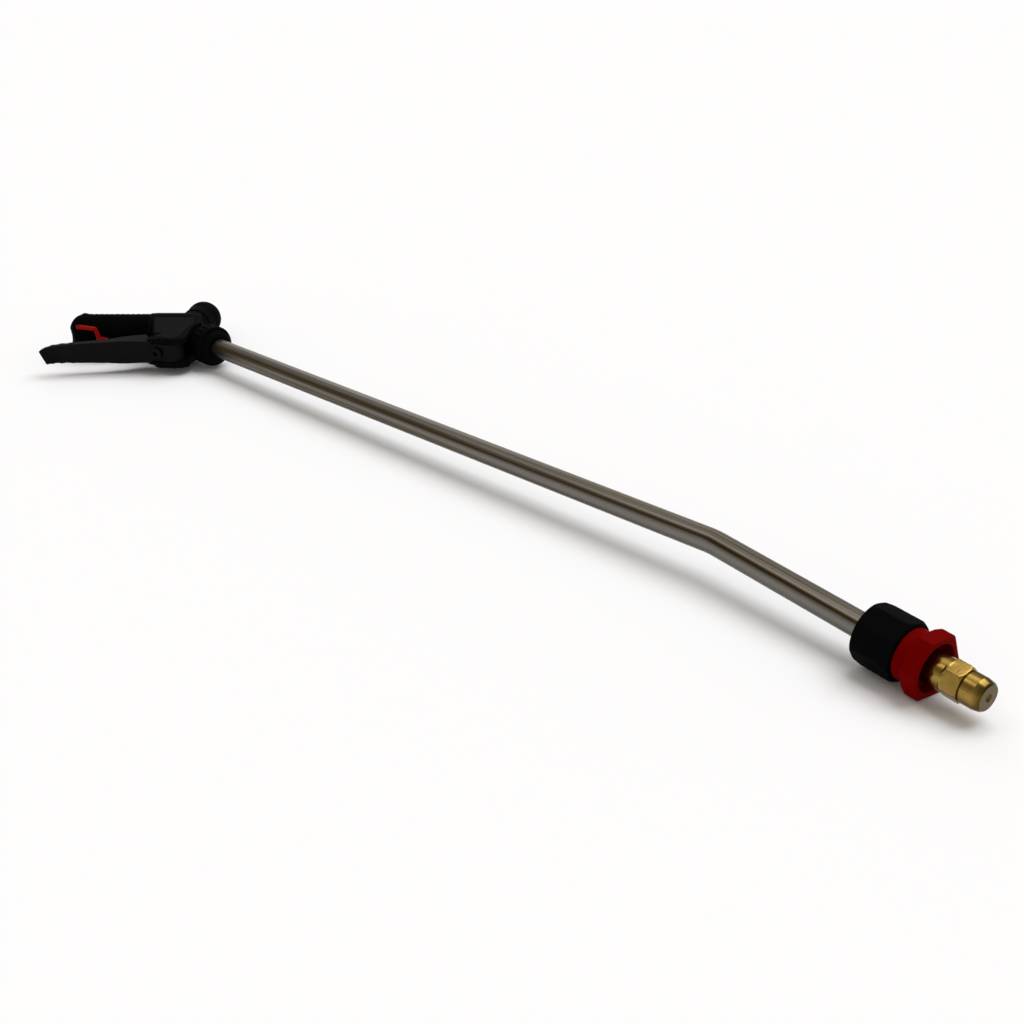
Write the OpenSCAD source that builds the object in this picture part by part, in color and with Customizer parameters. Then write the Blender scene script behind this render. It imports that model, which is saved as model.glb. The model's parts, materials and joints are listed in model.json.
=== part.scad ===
// Hand-held spray lance: a trigger valve with a hand grip, a bent steel lance
// and an adjustable brass nozzle. Millimetres, +Z up, lying on its side.
// The grip runs along +X from the hose inlet at the origin, the trigger lever
// hangs on the -Y side, and the grip, lance and valve axes meet at the elbow.

/* [Handle] */
// Distance from the hose inlet face to the elbow, where the axes meet
inlet_to_elbow = 83; // [81:1:112]
// How deep the inlet sits in the rear end of the grip
inlet_recess = 3; // [2.8:0.1:4]
// Radius of the hand grip
grip_r = 15.4; // [14.6:0.1:18.6]
// How far the rear rim of the grip stands proud
grip_rim = 0.7; // [0:0.1:1.5]
// Pitch of the fine rings on the grip
grip_ring_pitch = 4; // [3:0.5:6]
// Radius of the valve barrel
barrel_r = 16; // [16:0.5:19]
// Distance from the elbow back to the rear face of the barrel
barrel_back = 24; // [22:1:28]

/* [Trigger] */
// Pivot of the lever ahead of the elbow
pivot_x = 3; // [1:0.5:5]
// Pivot of the lever below the grip axis
pivot_drop = 39; // [38:0.5:41]
// Distance from the elbow back to the tip of the lever
lever_back = 95; // [85:1:105]
// Distance from the grip axis to the finger face of the lever at its middle
lever_drop = 45.5; // [44:0.5:48]
// How far the tip of the lever turns away from the grip
lever_flare = 9.5; // [4:0.5:12]
// Wall thickness of the lever
lever_wall = 2.2; // [1.8:0.1:3]
// Diameter of the lever pin
lever_pin_d = 5; // [4:0.5:6]
// Gap between the lever and each cheek
cheek_gap = 0.35; // [0.3:0.05:0.6]

/* [Lance] */
// Outside diameter of the lance tube
tube_d = 14; // [12:0.5:14]
// Wall thickness of the lance tube
tube_wall = 1; // [0.8:0.1:1.5]
// Distance from the elbow to the corner of the bend
elbow_to_bend = 514; // [250:1:900]
// Distance from the corner of the bend to the tip of the nozzle
bend_to_tip = 177; // [150:1:300]
// Angle between the grip axis and the lance
lance_angle = 44.8; // [40:0.2:50]
// Angle of the bend near the nozzle
tip_bend = 8.4; // [5:0.2:40]
// How far the bend is turned round the lance, out of the plane of the handle
tip_roll = 22; // [-90:1:90]
// Centre-line radius of the bend
bend_r = 60; // [30:5:120]

/* [Nozzle] */
// Radius over the corners of the eight-sided nozzle nut
nozzle_nut_r = 15.3; // [15:0.1:19]
// Radius over the corners of the six-sided nozzle holder
holder_r = 17.9; // [16.5:0.1:20]
// Radius of the first cylinder of the nozzle body
nozzle_r = 8.8; // [8:0.1:9.2]
// Radius of the adjustable cap at its rear rim
nozzle_cap_r = 8.4; // [8:0.1:9.2]

/* [Hidden] */
$fn = 72;
tube_r = tube_d / 2;
tube_bore_r = tube_r - tube_wall;

// Valve axis: it crosses the grip axis at the elbow and leans forward
valve_angle = 78;
// Stations along the valve axis; positive is away from the lever
seat_w = -4;
seat_depth = 4;
chamber_r = 7;
boss_r = 11.5;
boss_w = 24;
boss_neck_r = 9.4;
boss_neck_w = 30.2;
bonnet_seat_w = 31.2;
// The bonnet cap is a ball with a skirt and a flat end
cap_ball_r = 13.5;
cap_ball_w = 40.5;
cap_skirt_r = 12.4;
cap_end_w = 50.5;
cap_ribs = 18;
stem_r = 2;
stem_end_w = -33;
stem_fit = 0.06;
stem_web_w = -22;
gland_boss_r = 8.2;
gland_r = 5.5;
gland_seat_r = 6.95;
poppet_r = 5.6;
poppet_depth = 5;
spring_r = 4.3;
spring_wire_r = 0.6;
spring_turns = 8;
spring_foot_w = 2;
spring_top_w = 29;
push_gap = 0.5;
gland_end_w = -17;
gland_bore_w = -14.5;
// Adjusting screw of the lever: its head is sunk in the finger face
screw_r = 2.48;
screw_head_r = 4.2;
screw_head_w = -46.5;
screw_nut_w = -38.5;
// Water ways through the body
water_r = 4;
seat_way_r = 4.5;
cross_r = 2.4;

// Stations along the lance axis from the elbow
spigot_r = tube_r + 3;
neck_r = spigot_r + 1.2;
neck_s = 32.5;
spigot_end_s = 41;
thread_fit = 0.1;
nut_skirt_r = spigot_r + 5.2;
nut_skirt_s = 44;
nut_front_r = spigot_r + 2.2;
nut_front_s = 48.5;
nut_flutes = 20;
collar_flange_r = spigot_r - 0.6;
collar_end_s = 45.5;
collar_nose_s = 34.5;
collar_flange_s = spigot_end_s + 0.3;
tube_start_s = collar_flange_s + 0.7;
collar_nose_r = tube_r - 0.5;
bend_draw = 0.15;
collar_bore_r = collar_nose_r - 1.9;

// Stations along the nozzle axis from the corner of the bend
tip = bend_to_tip;
nut_t0 = tip - 68.5;
nut_t1 = tip - 42.3;
holder_flange_t0 = tip - 38;
holder_t1 = tip - 29;
wrench_t0 = tip - 21.5;
cap_t0 = tip - 11.2;
ferrule_r = tube_r + 3.8;
ferrule_t0 = nut_t0 + 7;
ferrule_t1 = nut_t0 + 13.5;
holder_thread_r = ferrule_r + 0.8;
holder_neck_r = holder_thread_r + 2.2;
// Recess in the front of the holder, and the socket behind it
recess_r = 12.9;
recess_t = holder_t1 - 7;
socket_r = 7;
socket_t = recess_t - 11;
nozzle_bore_r = 3.5;
// Nose of the nozzle body inside the cap
nose_r = 6.3;
nose_t = cap_t0 + 4.6;
core_r = 4.6;

// Cheeks of the lever slot
slot_half = 7.05;
lever_half = slot_half - cheek_gap;
cheek_top_z = 15.2;
cheek_slope = 0.085;
plate_depth = 0.9;
plate_proud = 0.3;

// ------------------------------------------------------------- placing

module at_elbow() {
    translate([inlet_to_elbow, 0, 0]) children();
}

// The lever's pivot
module at_pivot() {
    at_elbow() translate([pivot_x, -pivot_drop, 0]) children();
}

// Child's +Z runs along the grip axis, starting at the elbow
module along_grip() {
    at_elbow() rotate([0, 90, 0]) children();
}

// Child's +Z runs along the valve axis, away from the lever
module along_valve() {
    at_elbow() rotate([0, 0, valve_angle]) rotate([0, 90, 0]) children();
}

// Child's +Z runs along the lance, starting at the elbow
module along_lance() {
    at_elbow() rotate([0, 0, -lance_angle]) rotate([0, 90, 0]) children();
}

// Frame of the bend's corner: +X along the lance, -Y to the side it bends to
module at_bend() {
    at_elbow() rotate([0, 0, -lance_angle]) translate([elbow_to_bend, 0, 0])
        rotate([tip_roll, 0, 0]) children();
}

// Child's +Z runs along the nozzle axis, starting at the bend's corner
module along_nozzle() {
    at_bend() rotate([0, 0, -tip_bend]) rotate([0, 90, 0]) children();
}

// ------------------------------------------------------------- shapes

module ring(r_out, r_in, z0, z1) {
    translate([0, 0, z0]) difference() {
        cylinder(r = r_out, h = z1 - z0);
        translate([0, 0, -1]) cylinder(r = r_in, h = z1 - z0 + 2);
    }
}

module rod(r, z0, z1) {
    translate([0, 0, z0]) cylinder(r = r, h = z1 - z0);
}

module torus(big_r, small_r, z) {
    translate([0, 0, z]) rotate_extrude() translate([big_r, 0]) circle(small_r, $fn = 32);
}

// Points of a smooth curve through the given points
function curve_point(a, b, c, d, t) =
    0.5 * ((2 * b) + (c - a) * t + (2 * a - 5 * b + 4 * c - d) * t * t
        + (3 * b - a - 3 * c + d) * t * t * t);
function smooth(p, steps) = [
    for (i = [0 : len(p) - 2]) for (k = [0 : steps - 1])
        curve_point(p[max(i - 1, 0)], p[i], p[i + 1], p[min(i + 2, len(p) - 1)], k / steps),
    p[len(p) - 1]
];

// Points of an arc about a centre
function arc(c, r, a0, a1, steps) = [
    for (k = [0 : steps]) c + r * [cos(a0 + (a1 - a0) * k / steps), sin(a0 + (a1 - a0) * k / steps)]
];

// ------------------------------------------------------------- valve body

// Outline of a cheek, seen along Z, with the elbow at the origin
cheek_outline = concat(
    [[-20.5, 6], [-20.5, -5], [-14.6, -32], [-14.8, -37], [-14.4, -39.5], [-13.7, -42.4], [-13.2, -44.2]],
    arc([-8.4, -41.6], 5, 228, 265, 4),
    arc([4.4, -40.2], 8.2, 270, 350, 6),
    smooth([[12.6, -37], [12.8, -28], [14.8, -20], [19, -15]], 5),
    [[14, 6]]
);

module cheek_wedge() {
    // Thick at the grip axis and thinner toward the lever
    drop = 52;
    rotate([90, 0, 90]) linear_extrude(height = 70, center = true) polygon([
        [8, cheek_top_z], [-2, cheek_top_z],
        [-drop, cheek_top_z - cheek_slope * (drop - 2)],
        [-drop, -cheek_top_z + cheek_slope * (drop - 2)],
        [-2, -cheek_top_z], [8, -cheek_top_z]
    ]);
}

module body_solid() {
    at_elbow() intersection() {
        linear_extrude(height = 2 * cheek_top_z, center = true) polygon(cheek_outline);
        cheek_wedge();
    }
    // Barrel with a rounded front
    along_grip() rotate_extrude() polygon(concat(
        [[0, -barrel_back], [barrel_r - 0.8, -barrel_back], [barrel_r, -barrel_back + 0.8]],
        arc([barrel_r - 9, 6], 9, 0, 90, 10),
        [[0, 15]]
    ));
    // Neck and threaded spigot for the lance nut
    along_lance() rod(neck_r, 0, neck_s);
    along_lance() rod(spigot_r, neck_s - 1, spigot_end_s);
    // Boss for the valve bonnet
    along_valve() rod(boss_r, 0, boss_w);
    along_valve() rod(boss_neck_r, boss_w - 1, boss_neck_w);
    // Boss that holds the stem gland
    along_valve() rod(gland_boss_r, stem_web_w, 0);
}

module lever_slot() {
    // Room for the lever between the cheeks
    at_elbow() linear_extrude(height = 2 * slot_half, center = true) polygon([
        [-40, -19.5], [-11, -22.5], [8.5, -24.5], [13, -30], [26, -30], [26, -60], [-40, -60]
    ]);
}

module valve_body() {
    color("#1b1b1d") difference() {
        union() {
            difference() {
                body_solid();
                lever_slot();
            }
            // The neck and the gland boss stand in the slot
            along_lance() rod(neck_r, 12, neck_s);
            along_valve() rod(gland_boss_r, stem_web_w, -12);
        }
        // Water way from the pipe to the valve chamber
        along_grip() rod(water_r, -barrel_back - 1, 0);
        along_grip() rod(pipe_r, -barrel_back - 1, pipe_end_s);
        // Valve chamber, seat, outlet chamber and gland
        along_valve() rod(chamber_r, seat_w - seat_depth, boss_neck_w + 1);
        along_valve() rod(seat_way_r, -15, -7);
        along_valve() rod(gland_r, stem_web_w - 1, gland_bore_w);
        along_valve() rod(gland_seat_r, stem_web_w - 8, stem_web_w);
        // Cross drilling and lance way
        cross_drilling();
        along_lance() rod(water_r, 15, spigot_end_s + 1);
        along_lance() rod(collar_nose_r + 0.1, collar_nose_s - 1, spigot_end_s + 1);
        // Lever pin; the side plates cover its ends
        at_pivot() cylinder(d = lever_pin_d, h = 60, center = true);
        // Seats of the side plates
        for (side = [-1, 1]) plate_solid(side, plate_depth, 1);
    }
}

module cross_drilling() {
    along_valve() translate([0, 0, -11]) rotate([90, 0, 0]) cylinder(r = cross_r, h = 18);
}

// ------------------------------------------------------------- side plates

plate_tilt = atan(cheek_slope);
// Half the distance between the cheeks' outer faces, below the grip axis
function cheek_z(drop) = cheek_top_z - cheek_slope * (drop - 2);

module on_cheek(side) {
    // Frame on the sloping face of a cheek
    at_elbow() translate([0, -2, side * cheek_top_z]) rotate([side * plate_tilt, 0, 0]) children();
}

plate_outline = concat(
    [[11.6, -3], [-19.2, -3], [-18.9, -4], [-13.2, -30.5]],
    arc([-3.2, -33], 10, 190, 245, 6),
    arc([1.4, -38.6], 6.4, 270, 345, 6),
    [[8.6, -34.5], [9.8, -25.6], [12.4, -19], [13.6, -14]]
);

module plate_solid(side, inner, outer) {
    on_cheek(side) translate([0, 0, side > 0 ? -inner : -outer])
        linear_extrude(height = inner + outer) polygon(plate_outline);
}

module side_plates() {
    color("#2a2a2d") for (side = [-1, 1]) plate_solid(side, plate_depth, plate_proud);
}

// ------------------------------------------------------------- grip and inlet

grip_front = -barrel_back - 0.2;
grip_rear = -inlet_to_elbow - inlet_recess;
inlet_face = -inlet_to_elbow;
inlet_mouth_r = 7;
connector_r = 7.8;
connector_len = 22;
inlet_thread_len = 10;
washer_seat = 13;
pipe_r = 5;
pipe_seat = 15;
pipe_end_s = -14;

// Points of the shallow grooves that leave rings on the grip
function ring_grooves(z0, z1) = [
    for (z = [z0 : grip_ring_pitch : z1]) for (q = [[0, -0.9], [-0.3, -0.45], [-0.3, 0.45], [0, 0.9]])
        [grip_r + q[0], z + q[1]]
];

module hand_grip() {
    // The rear end is rounded, with a low rim before the rings
    end_round = 11;
    end_r = grip_r - end_round;
    start = -acos((inlet_mouth_r + 0.1 - end_r) / end_round);
    connector_end = inlet_face + connector_len + 0.5;
    color("#19191b") difference() {
        along_grip() rotate_extrude() polygon(concat(
            [[pipe_r + 0.1, grip_front], [pipe_r + 0.1, connector_end], [connector_r, connector_end],
             [connector_r, inlet_face], [inlet_mouth_r, inlet_face],
             [inlet_mouth_r, grip_rear + end_round * (1 + sin(start))]],
            arc([end_r, grip_rear + end_round], end_round, start, -14, 10),
            [[grip_r + grip_rim, grip_rear + 10.2], [grip_r + grip_rim, grip_rear + 11.4],
             [grip_r, grip_rear + 14]],
            ring_grooves(grip_rear + 18, grip_front - 6),
            [[grip_r, grip_front - 0.8], [grip_r - 0.8, grip_front]]
        ));
        // Slanting heel below the hose inlet
        at_elbow() translate([grip_rear - 0.2, -3, 0]) rotate([0, 0, 30])
            translate([-20, -30, -20]) cube([20, 30, 40]);
        // Pockets and pin holes for the lock catch
        catch_pockets();
        catch_pin_shape(catch_pin_r, catch_pin_z0 - 0.1, 20);
    }
}

module inlet_connector() {
    thread_r = 5.72;
    undercut_r = thread_r + 0.7;
    color("#b89a48") along_grip() difference() {
        rod(connector_r, inlet_face, inlet_face + connector_len);
        rod(thread_r, inlet_face - 1, inlet_face + washer_seat);
        rod(undercut_r, inlet_face + inlet_thread_len, inlet_face + washer_seat);
        rod(4.2, inlet_face + washer_seat - 1, inlet_face + pipe_seat + 2);
        rod(pipe_r, inlet_face + pipe_seat, inlet_face + connector_len + 1);
    }
}

module inlet_seal() {
    color("#202020") along_grip() ring(5.7, 3.9, inlet_face + washer_seat - 1.2, inlet_face + washer_seat);
}

module inlet_strainer() {
    z0 = inlet_face + washer_seat - 0.8;
    color("silver") along_grip() difference() {
        rod(3.4, z0, z0 + 14);
        rod(2.9, z0 - 1, z0 + 13.4);
        for (row = [0 : 4]) for (turn = [0 : 5])
            translate([0, 0, z0 + 4.2 + row * 1.9]) rotate([0, 0, turn * 60 + row * 30])
                translate([2, 0, 0]) rotate([0, 90, 0]) cylinder(r = 0.55, h = 3, $fn = 16);
    }
}

module inlet_pipe() {
    color("#b89a48") along_grip() ring(pipe_r, 3.6, inlet_face + pipe_seat, pipe_end_s);
}

// ------------------------------------------------------------- trigger

lever_face = smooth([
    [-lever_back, -lever_drop - lever_flare], [-82, -lever_drop - 4.6],
    [-66, -lever_drop - 1.6], [-46, -lever_drop], [-24, -lever_drop + 1.3]
], 6);
lever_back_edge = smooth([
    [-21.4, -26.5], [-28, -29], [-38, -33.5], [-52, -38], [-70, -41.5], [-84, -44.6],
    [-lever_back + 2, -lever_drop - lever_flare + 6.2]
], 6);

// The wide part of the lever, seen along Z
lever_wide = concat(lever_face, [[-13.8, -44.4], [-14.8, -43], [-16.2, -37]], lever_back_edge);
// The narrow front part that lies between the cheeks
lever_nose = concat(
    [[-24, -30], [-24, -43.4], [-14, -44.3], [-8, -45.6]],
    arc([0.5, -39.8], 8.2, 250, 360, 8),
    arc([pivot_x, -pivot_drop], 5.8, 10, 95, 6),
    [[-4, -32.4], [-12, -31.5], [-19, -28]]
);
// Pockets that leave the web along the finger face
wide_pocket = concat(
    [for (p = lever_face) if (p[0] > -lever_back + 5) p + [0, lever_wall + 0.2]],
    [[-17.6, -41.4], [-18.8, -36.6], [-24, -25.5], [-24, -18], [-lever_back + 5, -18]]
);
nose_pocket = [[-30, -18], [-30, -41.3], [-14, -41.8], [-2.6, -42.4], [-2.6, -18]];

// Half widths of the lever along its length, seen from the fingers
module lever_plan(inset) {
    half = [[-lever_back - 3, 5.0], [-lever_back + 4, 5.8], [-71, 6.5], [-46, 7.1], [-26, 8.4], [-8, 8.8]];
    rotate([90, 0, 0]) linear_extrude(height = 90) polygon(concat(
        [for (p = half) [p[0], p[1] - inset]],
        [for (k = [len(half) - 1 : -1 : 0]) [half[k][0], -half[k][1] + inset]]
    ));
}

module lever_shell() {
    intersection() {
        linear_extrude(height = 40, center = true) polygon(lever_wide);
        lever_plan(0);
    }
    linear_extrude(height = 2 * lever_half, center = true) polygon(lever_nose);
}

module lever_hollow() {
    intersection() {
        linear_extrude(height = 40, center = true) polygon(wide_pocket);
        lever_plan(lever_wall);
    }
    linear_extrude(height = 2 * (lever_half - lever_wall), center = true) polygon(nose_pocket);
}

module trigger_lever() {
    color("#2c2c2f") difference() {
        union() {
            at_elbow() difference() {
                lever_shell();
                lever_hollow();
            }
            // Boss of the adjusting screw
            along_valve() rod(4.6, screw_head_w + 2, screw_nut_w - 0.1);
        }
        along_valve() rod(screw_r + 0.02, -60, -30);
        along_valve() rod(screw_head_r + 0.2, -60, screw_head_w + 0.2);
        at_pivot() cylinder(r = lever_pin_d / 2 + 0.05, h = 60, center = true);
        finger_grooves();
    }
}

// Shallow grooves across the finger face near the tip
module finger_grooves() {
    groove_r = 1.4;
    at_elbow() for (k = [2 : 9]) translate([lever_face[k][0], lever_face[k][1] - groove_r + 0.5, 0])
        cylinder(r = groove_r, h = 40, center = true, $fn = 24);
}

module lever_pin() {
    // Just short of the side plates
    half = cheek_z(pivot_drop + lever_pin_d / 2) - plate_depth - 0.1;
    color("silver") at_pivot() cylinder(d = lever_pin_d, h = 2 * half, center = true);
}

module adjusting_screw() {
    // Its tapered end pushes on the stem, and the head has a key recess
    taper = 0.8;
    face_w = stem_end_w - push_gap;
    color("silver") along_valve() difference() {
        union() {
            rod(screw_r, screw_head_w - 0.1, face_w - taper);
            translate([0, 0, face_w - taper]) cylinder(r1 = screw_r, r2 = 1.2, h = taper);
            rod(screw_head_r, screw_head_w - 2.7, screw_head_w);
        }
        translate([0, 0, screw_head_w - 2.8]) cylinder(r = 2.3, h = 1.9, $fn = 6);
    }
}

module adjusting_nut() {
    color("silver") along_valve() difference() {
        // Flats beside the walls of the lever
        translate([0, 0, screw_nut_w]) rotate([0, 0, 30]) cylinder(r = 4.6, h = 2.6, $fn = 6);
        rod(screw_r + 0.01, screw_nut_w - 1, screw_nut_w + 4);
    }
}

// ------------------------------------------------------------- lock catch

// The catch is a yoke: two arms on the pins, a cross bar and a tongue along the grip
catch_pivot = [grip_rear + 9.1, -grip_r + 4.4];
catch_pin_r = 1.25;
catch_pin_z0 = 5;
catch_arm_z0 = 8;
catch_arm_z1 = 10.6;
catch_eye_r = 1.8;
catch_bar_x0 = catch_pivot[0] + 12.6;
catch_bar_x1 = catch_pivot[0] + 17.6;
catch_tip_x = catch_pivot[0] + 27.4;
catch_tongue_z = 1.9;
catch_tongue_t = 1.9;
catch_under_y = -grip_r - 0.3;

// Side view, from the eyes round the pins down to the tongue
catch_side = concat(
    arc(catch_pivot, catch_eye_r, 68, 248, 8),
    [[catch_bar_x0 + 0.6, catch_under_y - catch_tongue_t]],
    arc([catch_tip_x, catch_under_y] - [1, 1] * catch_tongue_t / 2, catch_tongue_t / 2, -90, 90, 4),
    [[catch_bar_x1 - 1.4, catch_under_y]]
);
// Seen from below: outline of the yoke, and the window between its arms
catch_yoke = [
    [catch_pivot[0] - 3, -catch_arm_z1], [catch_bar_x1 - 1, -catch_arm_z1], [catch_bar_x1, -catch_arm_z1 + 1],
    [catch_bar_x1, -catch_tongue_z], [catch_tip_x + 1, -catch_tongue_z], [catch_tip_x + 1, catch_tongue_z],
    [catch_bar_x1, catch_tongue_z], [catch_bar_x1, catch_arm_z1 - 1], [catch_bar_x1 - 1, catch_arm_z1],
    [catch_pivot[0] - 3, catch_arm_z1]
];
catch_window = [
    [catch_pivot[0] - 4, -catch_arm_z0], [catch_bar_x0, -catch_arm_z0],
    [catch_bar_x0, catch_arm_z0], [catch_pivot[0] - 4, catch_arm_z0]
];

// Room beside the arms, and a groove under the cross bar
module catch_pockets() {
    room = 0.6;
    seat_y = catch_under_y + room + 1.6;
    at_elbow() translate([catch_bar_x0 - room, seat_y - 10, -20])
        cube([catch_bar_x1 - catch_bar_x0 + 2 * room, 10, 40]);
    at_elbow() for (side = [-1, 1]) translate([0, 0, side > 0 ? catch_arm_z0 - 0.3 : -catch_arm_z0 - 9.7])
        linear_extrude(height = 10) polygon([
            catch_pivot + [-catch_eye_r - room, catch_eye_r + room],
            catch_pivot + [1, catch_eye_r + room],
            [catch_bar_x1 + room, catch_under_y + room],
            [catch_bar_x1 + room, catch_under_y - 10],
            [catch_pivot[0] - catch_eye_r - room, catch_under_y - 10]
        ]);
}

module catch_pin_shape(r, z0, z1) {
    for (side = [-1, 1]) at_elbow() translate([catch_pivot[0], catch_pivot[1], side > 0 ? z0 : -z1])
        cylinder(r = r, h = z1 - z0);
}

module lock_catch() {
    color("#b3160e") difference() {
        at_elbow() intersection() {
            linear_extrude(height = 2 * catch_arm_z1, center = true) polygon(catch_side);
            rotate([90, 0, 0]) linear_extrude(height = 40) difference() {
                polygon(catch_yoke);
                polygon(catch_window);
            }
        }
        catch_pin_shape(catch_pin_r + 0.05, 5, 20);
    }
}

module catch_pins() {
    color("silver") catch_pin_shape(catch_pin_r, catch_pin_z0, catch_arm_z1 + 0.4);
}

// ------------------------------------------------------------- valve

module valve_stem() {
    color("silver") along_valve() {
        rod(stem_r, stem_end_w, seat_w + 1);
    }
}

module valve_poppet() {
    color("#b89a48") along_valve() difference() {
        union() {
            rod(poppet_r, seat_w + 1, seat_w + 1 + poppet_depth);
            rod(spring_r - spring_wire_r - 0.3, seat_w + 5, seat_w + 9);
        }
        rod(poppet_r - 1.6, seat_w, seat_w + 1.9);
    }
}

module poppet_seal() {
    color("#202020") along_valve() ring(poppet_r - 1.62, stem_r, seat_w + 0.02, seat_w + 1.9);
}

module valve_seat() {
    color("#b89a48") along_valve() rotate_extrude() polygon([
        [3.1, seat_w - seat_depth], [chamber_r, seat_w - seat_depth],
        [chamber_r, seat_w - 0.8], [4.6, seat_w - 0.8], [3.8, seat_w], [3.1, seat_w]
    ]);
}

module stem_seal() {
    color("#202020") along_valve() ring(gland_r - 0.02, stem_r + 0.02, gland_end_w, gland_bore_w - 0.1);
}

module stem_gland() {
    color("#b89a48") along_valve() difference() {
        union() {
            rod(gland_r - 0.02, stem_web_w, gland_end_w);
            translate([0, 0, stem_web_w - 3.4]) cylinder(r = 6.6, h = 3.4, $fn = 6);
        }
        rod(stem_r + stem_fit, stem_web_w - 5, -10);
    }
}

// The spring is one unbroken tube along a helix
coil_steps = 24;
coil_sides = 6;
coil_rings = spring_turns * coil_steps;
coil_rise = spring_top_w - spring_foot_w - 2 * spring_wire_r;

function coil_point(k) = [
    spring_r * cos(360 * k / coil_steps), spring_r * sin(360 * k / coil_steps),
    spring_foot_w + spring_wire_r + coil_rise * k / coil_rings
];

// Least gap between a turn and the next, measured on the coil's own points
coil_gap = min([
    for (k = [0 : coil_steps - 1]) for (m = [coil_steps / 2 : coil_steps * 3 / 2])
        norm(coil_point(k + m) - coil_point(k))
]) - 2 * spring_wire_r;
echo(least_gap_of_the_spring = coil_gap);

module valve_spring() {
    points = [
        for (k = [0 : coil_rings]) for (j = [0 : coil_sides - 1])
            let (a = 360 * k / coil_steps, b = 360 * j / coil_sides)
            coil_point(k) + spring_wire_r * [cos(b) * cos(a), cos(b) * sin(a), sin(b)]
    ];
    faces = concat(
        [for (k = [0 : coil_rings - 1]) for (j = [0 : coil_sides - 1])
            [k * coil_sides + j, k * coil_sides + (j + 1) % coil_sides,
             (k + 1) * coil_sides + (j + 1) % coil_sides, (k + 1) * coil_sides + j]],
        [[for (j = [coil_sides - 1 : -1 : 0]) j]],
        [[for (j = [0 : coil_sides - 1]) coil_rings * coil_sides + j]]
    );
    color("silver") along_valve() polyhedron(points, faces, convexity = 10);
}

module spring_guide() {
    color("#b89a48") along_valve() {
        rod(chamber_r - 0.1, spring_top_w, spring_top_w + 2.2);
        rod(spring_r - spring_wire_r - 0.3, spring_top_w - 5, spring_top_w + 1);
    }
}

module bonnet_cap() {
    skirt_angle = -acos(cap_skirt_r / cap_ball_r);
    end_angle = asin((cap_end_w - cap_ball_w) / cap_ball_r);
    color("#1b1b1d") along_valve() difference() {
        rotate_extrude() polygon(concat(
            [[0, bonnet_seat_w + 0.1], [boss_neck_r + thread_fit, bonnet_seat_w + 0.1],
             [boss_neck_r + thread_fit, boss_w + 0.3], [cap_skirt_r - 0.8, boss_w + 0.3],
             [cap_skirt_r, boss_w + 1.1]],
            arc([0, cap_ball_w], cap_ball_r, skirt_angle, end_angle, 14),
            [[0, cap_end_w]]
        ));
        // Grip grooves round the skirt
        for (k = [0 : cap_ribs - 1]) rotate([0, 0, k * 360 / cap_ribs])
            translate([cap_skirt_r + 0.55, 0, boss_w]) cylinder(r = 1, h = 9.5, $fn = 16);
        // Key recess in the end
        translate([0, 0, cap_end_w - 2.5]) cylinder(r = 4.6, h = 4, $fn = 6);
    }
}

module bonnet_seal() {
    color("#202020") along_valve() ring(boss_neck_r - 0.1, chamber_r + 0.1, boss_neck_w, bonnet_seat_w);
}

// ------------------------------------------------------------- lance

module lance_nut() {
    color("#1b1b1d") along_lance() difference() {
        rotate_extrude() polygon(concat(
            [[spigot_r + thread_fit, neck_s + 0.4]],
            arc([nut_skirt_r - 2, neck_s + 2.4], 2, -80, 0, 4),
            arc([nut_skirt_r - 1.5, nut_skirt_s - 1.5], 1.5, 0, 80, 5),
            [[nut_front_r + 1.2, nut_skirt_s - 0.6], [nut_front_r, nut_skirt_s]],
            arc([nut_front_r - 3.4, nut_front_s - 3.4], 3.4, 0, 90, 8),
            [[tube_r + 0.4, nut_front_s], [tube_r + 0.4, collar_end_s + 0.3],
             [spigot_r + thread_fit, collar_end_s + 0.3]]
        ));
        for (k = [0 : nut_flutes - 1]) rotate([0, 0, k * 360 / nut_flutes])
            translate([nut_skirt_r + 0.8, 0, neck_s]) cylinder(r = 1.5, h = 8.6, $fn = 20);
    }
}

module lance_collar() {
    color("#b89a48") along_lance() difference() {
        union() {
            rod(collar_nose_r, collar_nose_s, collar_flange_s);
            rod(collar_flange_r, collar_flange_s, collar_end_s);
        }
        rod(collar_bore_r, collar_nose_s - 1, collar_end_s + 1);
        rod(tube_r, tube_start_s, collar_end_s + 1);
        ring(collar_nose_r + 1, collar_nose_r - 1.5, collar_nose_s + 1.5, collar_nose_s + 3.5);
    }
}

module lance_seal() {
    color("#202020") along_lance() torus(collar_nose_r - 0.72, 0.76, collar_nose_s + 2.5);
}

// A bent bar along the lance, longer at both ends by the given amount
module lance_run(r, longer) {
    tangent = bend_r * tan(tip_bend / 2);
    overlap = 0.5;
    along_lance() rod(r, tube_start_s - longer, elbow_to_bend - tangent + overlap);
    // Bending draws the tube down by a hair
    at_bend() translate([-tangent, -bend_r, 0]) rotate([0, 0, 90 - tip_bend])
        rotate_extrude(angle = tip_bend) translate([bend_r, 0]) circle(r - bend_draw);
    along_nozzle() rod(r, tangent - overlap, ferrule_t1 + longer);
}

module lance_tube() {
    color("#8d8a84") difference() {
        lance_run(tube_r, 0);
        lance_run(tube_bore_r, 1);
    }
}

// ------------------------------------------------------------- nozzle end

module nozzle_ferrule() {
    color("#b89a48") along_nozzle() ring(ferrule_r, tube_r, ferrule_t0, ferrule_t1);
}

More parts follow.
